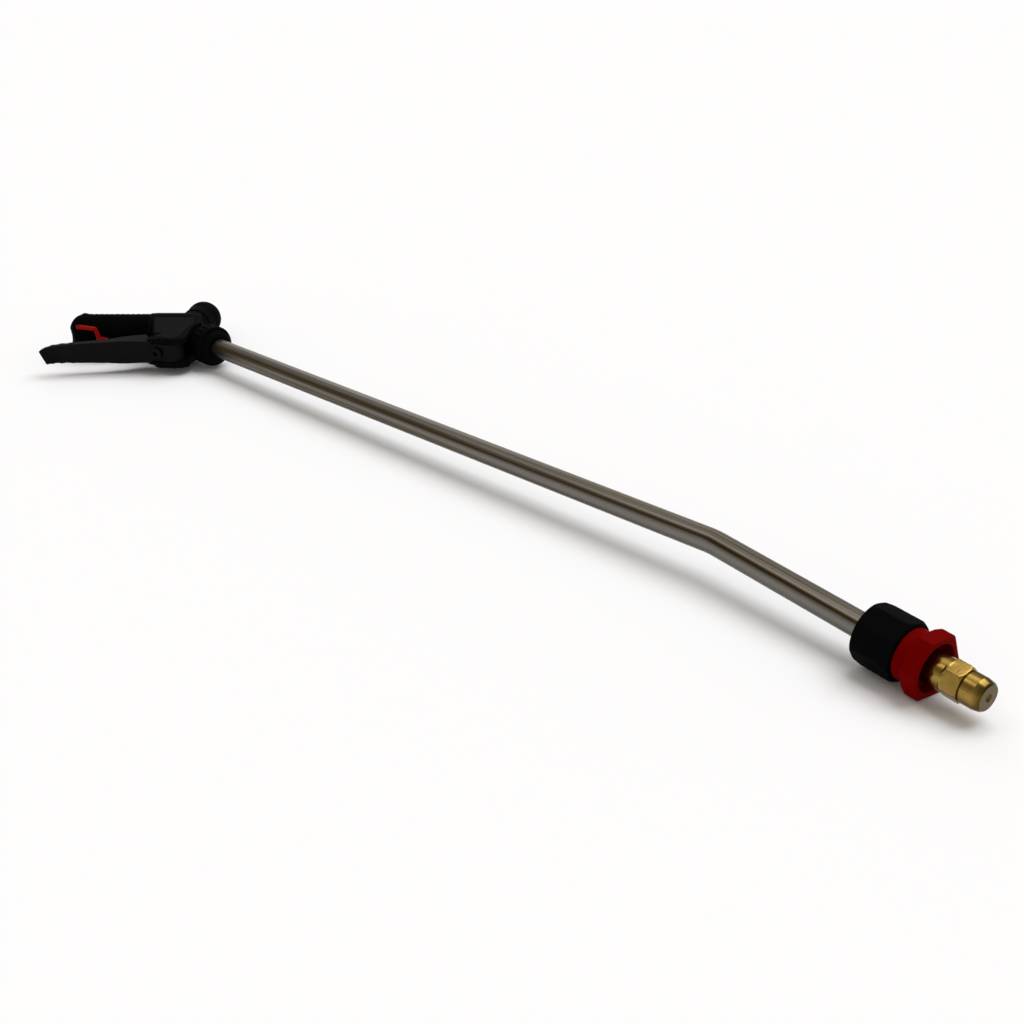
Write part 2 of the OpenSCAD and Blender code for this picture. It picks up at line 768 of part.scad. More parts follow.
// Eight-sided nut, turned down toward the lance
module nozzle_nut() {
    nut_turn = 33;
    color("#161618") along_nozzle() difference() {
        intersection() {
            translate([0, 0, nut_t0]) rotate([0, 0, nut_turn])
                cylinder(r = nozzle_nut_r, h = nut_t1 - nut_t0, $fn = 8);
            rotate_extrude() polygon([
                [0, nut_t0], [nozzle_nut_r - 2.6, nut_t0], [nozzle_nut_r - 0.7, nut_t0 + 1.2],
                [nozzle_nut_r + 0.1, nut_t0 + 7], [nozzle_nut_r + 0.1, nut_t1 - 2],
                [nozzle_nut_r - 1.3, nut_t1], [0, nut_t1]
            ]);
        }
        rod(tube_r + 0.4, nut_t0 - 1, ferrule_t0 + 1);
        rod(ferrule_r + 0.2, ferrule_t0 - 0.3, ferrule_t1 + 3);
        rod(holder_thread_r + thread_fit, ferrule_t1 + 2, nut_t1 + 1);
    }
}

module nozzle_seal() {
    color("#202020") along_nozzle() ring(ferrule_r, tube_bore_r, ferrule_t1 + 0.02, ferrule_t1 + 2);
}

// Six-sided holder, open at the front round the nozzle
module nozzle_holder() {
    flange_turn = 3;
    color("#b3160e") along_nozzle() difference() {
        union() {
            rod(holder_thread_r, ferrule_t1 + 2.2, nut_t1 + 1);
            rod(holder_neck_r, nut_t1 + 0.3, holder_flange_t0 + 1);
            intersection() {
                translate([0, 0, holder_flange_t0]) rotate([0, 0, flange_turn])
                    cylinder(r = holder_r, h = holder_t1 - holder_flange_t0, $fn = 6);
                rotate_extrude() polygon([
                    [0, holder_flange_t0], [holder_r - 1.8, holder_flange_t0],
                    [holder_r + 0.1, holder_flange_t0 + 1.6], [holder_r + 0.1, holder_t1 - 0.5],
                    [holder_r - 0.5, holder_t1], [0, holder_t1]
                ]);
            }
        }
        rod(5, ferrule_t1 + 1, recess_t + 1);
        rod(socket_r, socket_t, recess_t + 1);
        rod(recess_r, recess_t, holder_t1 + 1);
    }
}

module holder_seal() {
    color("#202020") along_nozzle() ring(socket_r - 0.02, nozzle_bore_r + 0.6, socket_t, socket_t + 1.4);
}

// Turned body with a six-sided wrench part and a grooved nose under the cap
module nozzle_body() {
    wrench_r = 9.9;
    wrench_turn = 21;
    wrench_end_t = cap_t0 - 0.4;
    seal_t = cap_t0 + 2.2;
    color("#c9a24a") along_nozzle() difference() {
        union() {
            rod(socket_r, socket_t + 1.5, recess_t + 1);
            rod(nozzle_r, recess_t, wrench_t0 + 1);
            intersection() {
                translate([0, 0, wrench_t0]) rotate([0, 0, wrench_turn])
                    cylinder(r = wrench_r, h = wrench_end_t - wrench_t0, $fn = 6);
                rotate_extrude() polygon([
                    [0, wrench_t0], [wrench_r - 1, wrench_t0],
                    [wrench_r + 0.1, wrench_t0 + 1.2], [wrench_r + 0.1, wrench_end_t - 1.4],
                    [wrench_r - 1.2, wrench_end_t], [0, wrench_end_t]
                ]);
            }
            rod(nose_r, cap_t0 - 1, nose_t);
        }
        rod(nozzle_bore_r, socket_t - 1, nose_t + 1);
        rod(core_r, cap_t0 - 4, nose_t + 1);
        ring(nose_r + 1, nose_r - 1.05, seal_t - 0.8, seal_t + 0.8);
    }
}

module cap_seal() {
    color("#202020") along_nozzle() torus(nose_r - 0.5, 0.5, cap_t0 + 2.2);
}

// Grooved core that sets the water spinning
module swirl_core() {
    color("#c9a24a") along_nozzle() difference() {
        union() {
            rod(core_r - 0.02, cap_t0 - 4, nose_t - 0.6);
            translate([0, 0, nose_t - 0.7]) cylinder(r1 = 3.2, r2 = 1.4, h = 1.9);
        }
        for (k = [0 : 2]) rotate([0, 0, k * 120]) translate([core_r - 0.2, 0, cap_t0 - 5])
            cylinder(r = 1, h = 12, $fn = 20);
    }
}

module nozzle_cap() {
    orifice_r = 0.75;
    bore_r = nose_r + 0.06;
    end_r = nozzle_cap_r - 0.7;
    color("#c9a24a") along_nozzle() rotate_extrude() polygon([
        [bore_r, cap_t0], [nozzle_cap_r - 0.5, cap_t0], [nozzle_cap_r, cap_t0 + 0.5],
        [nozzle_cap_r, tip - 4.5], [end_r, tip - 1.1], [end_r - 0.9, tip],
        [2.4, tip], [orifice_r, tip - 1.3], [orifice_r, tip - 2.2],
        [3.4, tip - 2.4], [bore_r, tip - 3.4]
    ]);
}

valve_body();
side_plates();
hand_grip();
inlet_connector();
inlet_strainer();
inlet_seal();
inlet_pipe();
trigger_lever();
lever_pin();
adjusting_screw();
adjusting_nut();
lock_catch();
catch_pins();
valve_stem();
valve_poppet();
poppet_seal();
valve_seat();
stem_seal();
stem_gland();
valve_spring();
bonnet_cap();
bonnet_seal();
spring_guide();
lance_nut();
lance_collar();
lance_seal();
lance_tube();
nozzle_ferrule();
nozzle_nut();
nozzle_seal();
nozzle_holder();
holder_seal();
nozzle_body();
swirl_core();
cap_seal();
nozzle_cap();
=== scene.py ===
# Looks of a hand-held spray lance: moulded black handle with a trigger lever and a
# red hold-open catch, drawn steel lance, red nozzle holder and turned brass nozzle.
# Metres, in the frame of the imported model. The reshape functions work in millimetres from the
# elbow, where the axes of grip, lance and valve meet.
import json
from math import cos, pi, radians, sin, tan

import bmesh
import bpy
from mathutils import Matrix, Vector


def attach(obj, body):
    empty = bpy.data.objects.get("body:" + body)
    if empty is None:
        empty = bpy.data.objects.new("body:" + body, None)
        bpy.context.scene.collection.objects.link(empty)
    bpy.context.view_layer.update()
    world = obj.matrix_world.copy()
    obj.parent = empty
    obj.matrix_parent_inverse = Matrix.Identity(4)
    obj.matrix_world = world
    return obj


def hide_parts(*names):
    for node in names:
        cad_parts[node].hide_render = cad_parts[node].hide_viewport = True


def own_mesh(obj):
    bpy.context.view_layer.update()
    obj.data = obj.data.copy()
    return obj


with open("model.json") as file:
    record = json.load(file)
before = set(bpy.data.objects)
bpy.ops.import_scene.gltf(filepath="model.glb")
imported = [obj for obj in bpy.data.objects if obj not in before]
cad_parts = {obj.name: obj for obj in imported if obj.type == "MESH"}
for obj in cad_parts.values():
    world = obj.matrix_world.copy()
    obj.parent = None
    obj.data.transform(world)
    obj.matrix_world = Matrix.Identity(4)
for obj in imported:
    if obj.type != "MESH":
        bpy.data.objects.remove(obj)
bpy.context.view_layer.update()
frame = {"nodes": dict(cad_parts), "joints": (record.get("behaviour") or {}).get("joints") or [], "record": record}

MM = 0.001

# ---------------------------------------------------------------- places from the frame

JOINTS = {joint["name"]: joint for joint in frame["joints"]}
ELBOW = Vector(JOINTS["union_nut_turn"]["pos_m"])
LANCE_AXIS = Vector(JOINTS["union_nut_turn"]["axis"]).normalized()
BEND_CORNER = Vector(JOINTS["nozzle_nut_turn"]["pos_m"])
NOZZLE_AXIS = Vector(JOINTS["nozzle_nut_turn"]["axis"]).normalized()
VALVE_AXIS = Vector(JOINTS["stem_slide"]["axis"]).normalized()


def frame_along(axis, origin):
    """Matrix that carries local +Z onto an axis that starts at the origin given."""
    turn = Vector((0, 0, 1)).rotation_difference(axis).to_matrix().to_4x4()
    return Matrix.Translation(origin) @ turn


# ---------------------------------------------------------------- shader helpers


class Graph:
    """Places nodes in a material or node group and links them by name."""

    def __init__(self, tree):
        self.tree = tree

    def add(self, kind, inputs=None, **settings):
        node = self.tree.nodes.new("ShaderNode" + kind)
        for key, value in settings.items():
            setattr(node, key, value)
        for key, value in (inputs or {}).items():
            if hasattr(value, "is_linked"):
                self.tree.links.new(value, node.inputs[key])
            else:
                node.inputs[key].default_value = value
        return node

    def noise(self, place, scale, detail, roughness=0.5):
        inputs = {"Vector": place, "Scale": scale, "Detail": detail, "Roughness": roughness}
        return self.add("TexNoise", inputs).outputs["Fac"]

    def math(self, operation, a, b=0.0, clamp=False):
        node = self.add("Math", {0: a, 1: b}, operation=operation, use_clamp=clamp)
        return node.outputs[0]

    def dot(self, a, b):
        return self.add("VectorMath", {0: a, 1: b}, operation="DOT_PRODUCT").outputs["Value"]

    def mix(self, share, a, b):
        node = self.add("Mix", {0: share, 6: a, 7: b}, data_type="RGBA")
        return node.outputs[2]

    def remap(self, value, low, high, to_low, to_high):
        ends = {"From Min": low, "From Max": high, "To Min": to_low, "To Max": to_high}
        return self.add("MapRange", {"Value": value, **ends}).outputs[0]


def rgba(colour):
    return (*colour, 1.0)


SKIN_OUTPUTS = [("Color", "NodeSocketColor"), ("Roughness", "NodeSocketFloat"),
                ("Height", "NodeSocketFloat")]


def new_group(name, inputs):
    """A node group with named inputs and a skin's outputs; returns tree, Graph, input, output."""
    tree = bpy.data.node_groups.new(name, "ShaderNodeTree")
    for label, kind, default in inputs:
        socket = tree.interface.new_socket(label, in_out="INPUT", socket_type=kind)
        socket.default_value = default
    for label, kind in SKIN_OUTPUTS:
        tree.interface.new_socket(label, in_out="OUTPUT", socket_type=kind)
    graph = Graph(tree)
    return tree, graph, tree.nodes.new("NodeGroupInput"), tree.nodes.new("NodeGroupOutput")


def put_out(g, out, *values):
    for (label, _), value in zip(SKIN_OUTPUTS, values):
        g.tree.links.new(value, out.inputs[label])


def make_moulded_skin():
    """Moulded plastic: fine spark-eroded grain, cloudy sheen, scuffs where hands rub."""
    tree, g, given, out = new_group(
        "moulded_skin",
        [("Colour", "NodeSocketColor", rgba((0.02, 0.02, 0.02))),
         ("Scuffed Colour", "NodeSocketColor", rgba((0.05, 0.05, 0.05))),
         ("Roughness", "NodeSocketFloat", 0.5),
         ("Grain Scale", "NodeSocketFloat", 1600.0),
         ("Scuffs", "NodeSocketFloat", 0.3)],
    )
    place = g.add("TexCoord").outputs["Object"]
    grain = g.noise(place, given.outputs["Grain Scale"], 3.0, 0.6)
    clouds = g.noise(place, 38.0, 5.0, 0.55)
    along_scratch = {"Vector": place, "Rotation": (0.4, 0.2, 0.9), "Scale": (90.0, 900.0, 700.0)}
    scratches = g.noise(g.add("Mapping", along_scratch).outputs[0], 1.0, 2.0)
    scratch_mask = g.remap(scratches, 0.66, 0.74, 0.0, 1.0)
    cloud_mask = g.remap(clouds, 0.5, 0.72, 0.0, 1.0)
    rubbed = g.math("MAXIMUM", g.math("MULTIPLY", scratch_mask, 0.6), cloud_mask)
    worn = g.math("MULTIPLY", rubbed, given.outputs["Scuffs"], clamp=True)
    colour = g.mix(worn, given.outputs["Colour"], given.outputs["Scuffed Colour"])
    tone = g.remap(clouds, 0.3, 0.7, -0.05, 0.07)
    uneven = g.math("ADD", tone, g.math("MULTIPLY", grain, 0.06))
    rough = g.math("ADD", given.outputs["Roughness"], uneven)
    height = g.math("SUBTRACT", grain, g.math("MULTIPLY", scratch_mask, 0.5))
    put_out(g, out, colour, rough, height)
    return tree


def make_machined_metal():
    """Turned or drawn metal: fine lines round or along an axis, cloudy tarnish, small nicks and a share of painted
    shade given from outside.
    """
    tree, g, given, out = new_group(
        "machined_metal",
        [("Vector", "NodeSocketVector", (0.0, 0.0, 0.0)),
         ("Colour", "NodeSocketColor", rgba((0.5, 0.5, 0.5))),
         ("Tarnish Colour", "NodeSocketColor", rgba((0.2, 0.2, 0.2))),
         ("Tarnish", "NodeSocketFloat", 0.4),
         ("Roughness", "NodeSocketFloat", 0.25),
         ("Line Scale", "NodeSocketFloat", 1200.0),
         ("Tip Shade", "NodeSocketFloat", 0.0)],
    )
    parts = g.add("SeparateXYZ", {0: given.outputs["Vector"]})
    along = g.add("CombineXYZ", {2: parts.outputs[2]}).outputs[0]
    lines = g.noise(along, given.outputs["Line Scale"], 3.0, 0.7)
    clouds = g.noise(given.outputs["Vector"], 95.0, 6.0, 0.6)
    nicks = g.noise(given.outputs["Vector"], 620.0, 2.0)
    nick_mask = g.remap(nicks, 0.68, 0.76, 0.0, 1.0)
    cloudy = g.remap(clouds, 0.44, 0.68, 0.0, 1.0)
    stain = g.math("MULTIPLY", cloudy, given.outputs["Tarnish"], clamp=True)
    colour = g.mix(stain, given.outputs["Colour"], given.outputs["Tarnish Colour"])
    # painted shade: the last input darkens the metal toward the tarnish colour, as the nicks do
    nicks_and_tip_shade = g.math("MAXIMUM", g.math("MULTIPLY", nick_mask, 0.4), given.outputs["Tip Shade"])
    colour = g.mix(nicks_and_tip_shade, colour, given.outputs["Tarnish Colour"])
    uneven = g.math("ADD", g.remap(lines, 0.3, 0.7, -0.05, 0.05), g.math("MULTIPLY", stain, 0.16))
    rough = g.math("ADD", given.outputs["Roughness"], uneven)
    height = g.math("SUBTRACT", lines, g.math("MULTIPLY", nick_mask, 0.8))
    put_out(g, out, colour, rough, height)
    return tree


def make_streaks_and_reflection():
    """Drawn tube: streaks that run its whole length, bright steel ones and brown ones that are a painted
    reflection.
    """
    tree, g, given, out = new_group(
        "streaks_and_reflection",
        [("Vector", "NodeSocketVector", (0.0, 0.0, 0.0)),
         ("Steel", "NodeSocketColor", rgba((0.3, 0.3, 0.3))),
         ("Bright", "NodeSocketColor", rgba((0.5, 0.5, 0.5))),
         ("Tint", "NodeSocketColor", rgba((0.1, 0.07, 0.03)))],
    )
    place = given.outputs["Vector"]
    broad = g.noise(place, 0.62, 1.0, 0.4)
    fine = g.noise(place, 3.6, 4.0, 0.65)
    hair = g.noise(place, 22.0, 2.0, 0.6)
    # painted reflection: the broad brown streaks stand in for the room's brown reflected along the tube
    brown_reflection_mask = g.remap(broad, 0.50, 0.62, 0.0, 1.0)
    bright_mask = g.math("MULTIPLY", g.remap(fine, 0.54, 0.66, 0.0, 1.0), 0.55)
    colour = g.mix(brown_reflection_mask, given.outputs["Steel"], given.outputs["Tint"])
    colour = g.mix(bright_mask, colour, given.outputs["Bright"])
    rough = g.math("ADD", g.remap(fine, 0.3, 0.7, 0.20, 0.34), g.math("MULTIPLY", hair, 0.06))
    height = g.math("ADD", g.math("MULTIPLY", fine, 0.4), hair)
    put_out(g, out, colour, rough, height)
    return tree


MOULDED = make_moulded_skin()
MACHINED = make_machined_metal()
STREAKS_AND_REFLECTION = make_streaks_and_reflection()


# ---------------------------------------------------------------- materials


def new_material(name):
    material = bpy.data.materials.new(name)
    material.use_nodes = True
    graph = Graph(material.node_tree)
    shader = material.node_tree.nodes["Principled BSDF"]
    return material, graph, shader


def use_group(graph, shader, tree, values, bump):
    """Feeds a group's colour, roughness and height into the shader, the height through a bump."""
    node = graph.add("Group", values, node_tree=tree)
    graph.tree.links.new(node.outputs["Color"], shader.inputs["Base Color"])
    graph.tree.links.new(node.outputs["Roughness"], shader.inputs["Roughness"])
    strength, distance = bump
    relief = {"Height": node.outputs["Height"], "Strength": strength, "Distance": distance}
    graph.tree.links.new(graph.add("Bump", relief).outputs[0], shader.inputs["Normal"])


MOULD_GRAIN = 1600.0
MOULD_BUMP = (0.35, 0.00012)
TURNING_LINES = 1200.0
TURNING_RELIEF = 0.00006
# painted shade at the nozzle's front end: how far it fades in and how dark it gets
TIP_SHADE_FADE = 3.5 * MM
TIP_SHADE_MOST = 0.88


def plastic(name, colour, scuffed, rough, gloss, grain=MOULD_GRAIN, scuffs=0.3):
    material, graph, shader = new_material(name)
    values = {"Colour": rgba(colour), "Scuffed Colour": rgba(scuffed), "Roughness": rough,
              "Grain Scale": grain, "Scuffs": scuffs}
    use_group(graph, shader, MOULDED, values, MOULD_BUMP)
    shader.inputs["Specular IOR Level"].default_value = gloss
    return material


def turned_metal(name, colour, tarnish_colour, tarnish, rough, axis_matrix, depth=0.25,
                 tip_shade_from=None):
    """Metal with lines round the axis whose frame is given.

    Past the distance given along that axis, the metal darkens toward its tarnish colour: painted shade."""
    material, graph, shader = new_material(name)
    place = graph.add("TexCoord").outputs["Object"]
    turn = axis_matrix.inverted().to_euler()
    local = graph.add("Mapping", {"Vector": place, "Rotation": turn[:]}).outputs[0]
    values = {"Vector": local, "Colour": rgba(colour), "Tarnish Colour": rgba(tarnish_colour),
              "Tarnish": tarnish, "Roughness": rough, "Line Scale": TURNING_LINES}
    if tip_shade_from is not None:
        axis = axis_matrix.col[2].to_3d()
        from_origin = axis_matrix.translation.dot(axis)
        past = graph.math("SUBTRACT", graph.dot(place, axis), from_origin + tip_shade_from)
        values["Tip Shade"] = graph.remap(past, 0.0, TIP_SHADE_FADE, 0.0, TIP_SHADE_MOST)
    use_group(graph, shader, MACHINED, values, (depth, TURNING_RELIEF))
    shader.inputs["Metallic"].default_value = 1.0
    return material


def drawn_tube_steel():
    material, graph, shader = new_material("drawn_tube_steel")
    place = graph.add("Attribute", attribute_name="drawn").outputs["Vector"]
    # the third colour, brown, is a painted reflection laid along the tube in streaks
    values = {"Vector": place, "Steel": rgba((0.16, 0.15, 0.135)),
              "Bright": rgba((0.27, 0.25, 0.23)), "Tint": rgba((0.085, 0.062, 0.028))}
    use_group(graph, shader, STREAKS_AND_REFLECTION, values, (0.12, 0.00005))
    shader.inputs["Metallic"].default_value = 1.0
    return material


LANCE_FRAME = frame_along(LANCE_AXIS, ELBOW)
NOZZLE_FRAME = frame_along(NOZZLE_AXIS, BEND_CORNER)
VALVE_FRAME = frame_along(VALVE_AXIS, ELBOW)
GRIP_FRAME = frame_along(Vector((1, 0, 0)), ELBOW)

BODY_BLACK = plastic("body_black", (0.0030, 0.0030, 0.0033), (0.006, 0.006, 0.0065), 0.52, 0.008)
GRIP_BLACK = plastic("grip_black", (0.0016, 0.0016, 0.0018), (0.004, 0.004, 0.004), 0.58, 0.006,
                     grain=2300.0)
PLATE_BLACK = plastic("plate_black", (0.0056, 0.0056, 0.0058), (0.0095, 0.0095, 0.0097), 0.48, 0.010,
                      scuffs=0.5)
LEVER_BLACK = plastic("lever_black", (0.0052, 0.0052, 0.0055), (0.0105, 0.0105, 0.0108), 0.48, 0.030,
                      scuffs=0.6)
NUT_BLACK = plastic("nut_black", (0.0026, 0.0026, 0.0029), (0.006, 0.006, 0.0062), 0.48, 0.008)
CATCH_RED = plastic("catch_red", (0.33, 0.006, 0.003), (0.40, 0.02, 0.01), 0.46, 0.02, scuffs=0.25)
HOLDER_RED = plastic("holder_red", (0.145, 0.0006, 0.0003), (0.18, 0.002, 0.001), 0.55, 0.008,
                     scuffs=0.3)
SEAL_BLACK = plastic("seal_black", (0.010, 0.010, 0.010), (0.02, 0.02, 0.02), 0.7, 0.1, scuffs=0.2)
# the nozzle brass is darkened over its last few millimetres: painted shade
NOZZLE_BRASS = turned_metal("nozzle_brass", (0.32, 0.208, 0.05), (0.055, 0.034, 0.004), 0.35, 0.17,
                            NOZZLE_FRAME, depth=0.10, tip_shade_from=173.0 * MM)
COLLAR_BRASS = turned_metal("collar_brass", (0.030, 0.021, 0.008), (0.015, 0.010, 0.004), 0.5, 0.5,
                            LANCE_FRAME)
BRASS = turned_metal("valve_brass", (0.42, 0.29, 0.08), (0.15, 0.10, 0.02), 0.45, 0.27, GRIP_FRAME)
VALVE_STEEL = turned_metal("valve_steel", (0.50, 0.50, 0.51), (0.24, 0.23, 0.22), 0.3, 0.26,
                           VALVE_FRAME)
PIN_STEEL = turned_metal("pin_steel", (0.46, 0.46, 0.47), (0.2, 0.2, 0.2), 0.3, 0.28,
                         frame_along(Vector((0, 0, 1)), ELBOW))
BLACKENED = turned_metal("blackened_steel", (0.008, 0.008, 0.009), (0.005, 0.005, 0.005), 0.4, 0.5,
                         VALVE_FRAME)
TUBE_STEEL = drawn_tube_steel()

FINISHES = {
    "valve_body": BODY_BLACK, "side_plates": PLATE_BLACK, "hand_grip": GRIP_BLACK,
    "inlet_connector": BRASS, "inlet_strainer": PIN_STEEL, "inlet_seal": SEAL_BLACK,
    "inlet_pipe": BRASS, "trigger_lever": LEVER_BLACK, "lever_pin": PIN_STEEL,
    "adjusting_screw": BLACKENED, "adjusting_nut": VALVE_STEEL, "lock_catch": CATCH_RED,
    "catch_pins": BLACKENED, "valve_stem": VALVE_STEEL, "valve_poppet": BRASS,
    "poppet_seal": SEAL_BLACK, "valve_seat": BRASS, "stem_seal": SEAL_BLACK, "stem_gland": BRASS,
    "valve_spring": VALVE_STEEL, "bonnet_cap": BODY_BLACK, "bonnet_seal": SEAL_BLACK,
    "spring_guide": BRASS, "lance_nut": NUT_BLACK, "lance_collar": COLLAR_BRASS,
    "lance_seal": SEAL_BLACK, "lance_tube": TUBE_STEEL, "nozzle_ferrule": NOZZLE_BRASS,
    "nozzle_nut": NUT_BLACK, "nozzle_seal": SEAL_BLACK, "nozzle_holder": HOLDER_RED,
    "holder_seal": SEAL_BLACK, "nozzle_body": NOZZLE_BRASS, "swirl_core": NOZZLE_BRASS,
    "cap_seal": SEAL_BLACK, "nozzle_cap": NOZZLE_BRASS,
}


def finish_nodes():
    for name, material in FINISHES.items():
        slots = frame["nodes"][name].material_slots
        if not slots:
            raise SystemExit(f"{name} has no material slot")
        for one in slots:
            one.material = material


# ---------------------------------------------------------------- meshes


def put(name, mesh, material, body):
    piece = bpy.data.objects.new(name, mesh)
    bpy.context.scene.collection.objects.link(piece)
    mesh.materials.clear()
    mesh.materials.append(material)
    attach(piece, body)
    return piece


def shade_smooth(mesh, angle=None):
    """Smooth shading; edges sharper than the angle stay crisp."""
    for face in mesh.polygons:
        face.use_smooth = True
    if angle is not None:
        mesh.set_sharp_from_angle(angle=angle)


def body_with(node):
    bodies = frame["record"]["behaviour"]["bodies"]
    return next(body for body, nodes in bodies.items() if node in nodes)


def finished(name, bm, crease):
    """The mesh of a bmesh, smooth but for edges sharper than the crease in degrees."""
    bmesh.ops.recalc_face_normals(bm, faces=bm.faces)
    mesh = bpy.data.meshes.new(name)
    bm.to_mesh(mesh)
    bm.free()
    shade_smooth(mesh, radians(crease))
    return mesh


def sweep(name, rows, crease, closed=True):
    """A mesh through rows of points, each row a loop; if closed, the last row joins the first."""
    bm = bmesh.new()
    loops = [[bm.verts.new(p) for p in row] for row in rows]
    count = len(rows[0])
    pairs = range(len(loops) if closed else len(loops) - 1)
    for k in pairs:
        a, b = loops[k], loops[(k + 1) % len(loops)]
        for j in range(count):
            bm.faces.new((a[j], a[(j + 1) % count], b[(j + 1) % count], b[j]))
    if not closed:
        bm.faces.new(loops[0][::-1])
        bm.faces.new(loops[-1])
    return finished(name, bm, crease)


def slab(bm, corners, low, high):
    """A closed plate between two heights along Z over a flat outline."""
    bottom = [bm.verts.new((x, y, low)) for x, y in corners]
    top = [bm.verts.new((x, y, high)) for x, y in corners]
    bm.faces.new(bottom[::-1])
    bm.faces.new(top)
    for k in range(len(corners)):
        j = (k + 1) % len(corners)
        bm.faces.new((bottom[k], bottom[j], top[j], top[k]))


def turned_ring(bm, matrix, outline, around=64):
    """A closed ring round a frame's axis, from an outline of (along, radius) in millimetres."""
    loops = []
    for k in range(around):
        a = 2 * pi * k / around
        places = [Vector((r * cos(a), r * sin(a), along)) * MM for along, r in outline]
        loops.append([bm.verts.new(matrix @ place) for place in places])
    count = len(outline)
    for k in range(around):
        one, other = loops[k], loops[(k + 1) % around]
        for j in range(count):
            bm.faces.new((one[j], other[j], other[(j + 1) % count], one[(j + 1) % count]))


def with_modifiers(name, mesh, *steps):
    """A new mesh: the given one after modifiers, each a kind and its settings."""
    piece = bpy.data.objects.new(name, mesh)
    bpy.context.scene.collection.objects.link(piece)
    for kind, settings in steps:
        step = piece.modifiers.new(kind.lower(), kind)
        for key, value in settings.items():
            setattr(step, key, value)
    shapes = bpy.context.evaluated_depsgraph_get()
    made = bpy.data.meshes.new_from_object(piece.evaluated_get(shapes))
    bpy.data.objects.remove(piece)
    bpy.data.meshes.remove(mesh)
    return made


WELD = 1e-6


def soften(node, voxel, rounds, keep, reshape, add):
    """A copy of a moulded node whose edges have a small radius, in place of the node.

    add puts closed solids into the copy before it is made one skin; reshape moves a point given
    in millimetres from the elbow."""
    bm = bmesh.new()
    bm.from_mesh(frame["nodes"][node].data)
    bmesh.ops.remove_doubles(bm, verts=bm.verts, dist=WELD)
    if add:
        add(bm)
    name = node + "_moulding"
    mesh = bpy.data.meshes.new(name)
    bm.to_mesh(mesh)
    bm.free()
    skin = with_modifiers(name, mesh, ("REMESH", {"mode": "VOXEL", "voxel_size": voxel * MM}))
    if reshape:
        for vertex in skin.vertices:
            moved = reshape(*((vertex.co - ELBOW) / MM))
            vertex.co = ELBOW + Vector(moved) * MM
    made = with_modifiers(name, skin, ("SMOOTH", {"factor": 0.5, "iterations": rounds}),
                          ("DECIMATE", {"ratio": keep}))
    made.name = name
    shade_smooth(made)
    piece = put(name, made, FINISHES[node], body_with(node))
    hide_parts(node)


def ease(value, low, high):
    """0 below low, 1 above high, smooth between; low may be the greater one."""
    t = min(1.0, max(0.0, (value - low) / (high - low)))
    return t * t * (3 - 2 * t)


# ---------------------------------------------------------------- handle mouldings

LEVER_BACK = 95
LEVER_WIDEST = 46
BETWEEN_CHEEKS = 20
FLANK_START, FLANK_FULL = 22, 40
FLANK_SHARE, FLANK_LOSS = 0.15, 0.05
WAVES_START, WAVES_FULL = 64, 74
WAVE_PITCH, WAVE_SHARE = 7.3, 0.03
TIP_START, TIP_POINT_Z = 84, 3.5
TIP_SLANT_BELOW, TIP_SLANT_ABOVE = 0.52, 1.3


def reshape_lever(x, y, z):
    """Fuller flanks along the hand's width, waves near the tip and a slanting end."""
    back = -x
    if back < BETWEEN_CHEEKS:
        return x, y, z
    fuller = (FLANK_SHARE * ease(back, FLANK_START, FLANK_FULL)
              - FLANK_LOSS * ease(back, LEVER_WIDEST, LEVER_BACK))
    waves = WAVE_SHARE * ease(back, WAVES_START, WAVES_FULL)
    wave = waves * cos(2 * pi * (LEVER_BACK - back) / WAVE_PITCH)
    low = z < TIP_POINT_Z
    slant = TIP_SLANT_BELOW * (TIP_POINT_Z - z) if low else TIP_SLANT_ABOVE * (z - TIP_POINT_Z)
    return x + ease(back, TIP_START, LEVER_BACK) * slant, y, z * (1 + fuller + wave)


CATCH_PIVOT_X, CATCH_PIVOT_Y = -76.9, -11
CATCH_ARM_RUN, CATCH_ARM_FALL = 12.6, 0.38
CATCH_ARM_Z = 10.6
ARM_SLIM_FROM, ARM_SLIM_TO, ARM_SLIM_SHARE = 2.5, 6.0, 0.28
CATCH_BAR_X = CATCH_PIVOT_X + CATCH_ARM_RUN
CATCH_BAR_W, SLIM_BAR_W = 5.0, 2.6
CATCH_TONGUE, SHORT_TONGUE = 9.8, 5.6
TONGUE_ROOT_Z, TONGUE_ONLY_Z = 3.2, 2.4
TONGUE_ROOT_SHARE, TONGUE_TAPER = 1.6, 0.7
BAR_LEAN, BAR_EDGE = 2.4, 0.4


def reshape_catch(x, y, z):
    """Slim arms and bars; the bars run together toward a short, tapered tongue."""
    past = x - CATCH_BAR_X
    off = abs(z)
    arm_y = CATCH_PIVOT_Y - CATCH_ARM_FALL * min(CATCH_ARM_RUN, x - CATCH_PIVOT_X)
    if past < CATCH_BAR_W + BAR_EDGE:
        slimmer = ARM_SLIM_SHARE * ease(x - CATCH_PIVOT_X, ARM_SLIM_FROM, ARM_SLIM_TO)
        y = arm_y + (y - arm_y) * (1 - slimmer)
    if past < -BAR_EDGE:
        return x, y, z
    inward = min(1.0, max(0.0, (CATCH_ARM_Z - off) / (CATCH_ARM_Z - TONGUE_ROOT_Z)))
    if past <= CATCH_BAR_W + BAR_EDGE or off > TONGUE_ONLY_Z:
        across = min(1.0, past / CATCH_BAR_W) * SLIM_BAR_W
        return CATCH_BAR_X + across + BAR_LEAN * inward * ease(past, -BAR_EDGE, 0.2), y, z
    out = (past - CATCH_BAR_W) / CATCH_TONGUE
    root_x = CATCH_BAR_X + SLIM_BAR_W + BAR_LEAN
    return root_x + out * SHORT_TONGUE, y, z * (TONGUE_ROOT_SHARE - TONGUE_TAPER * out)


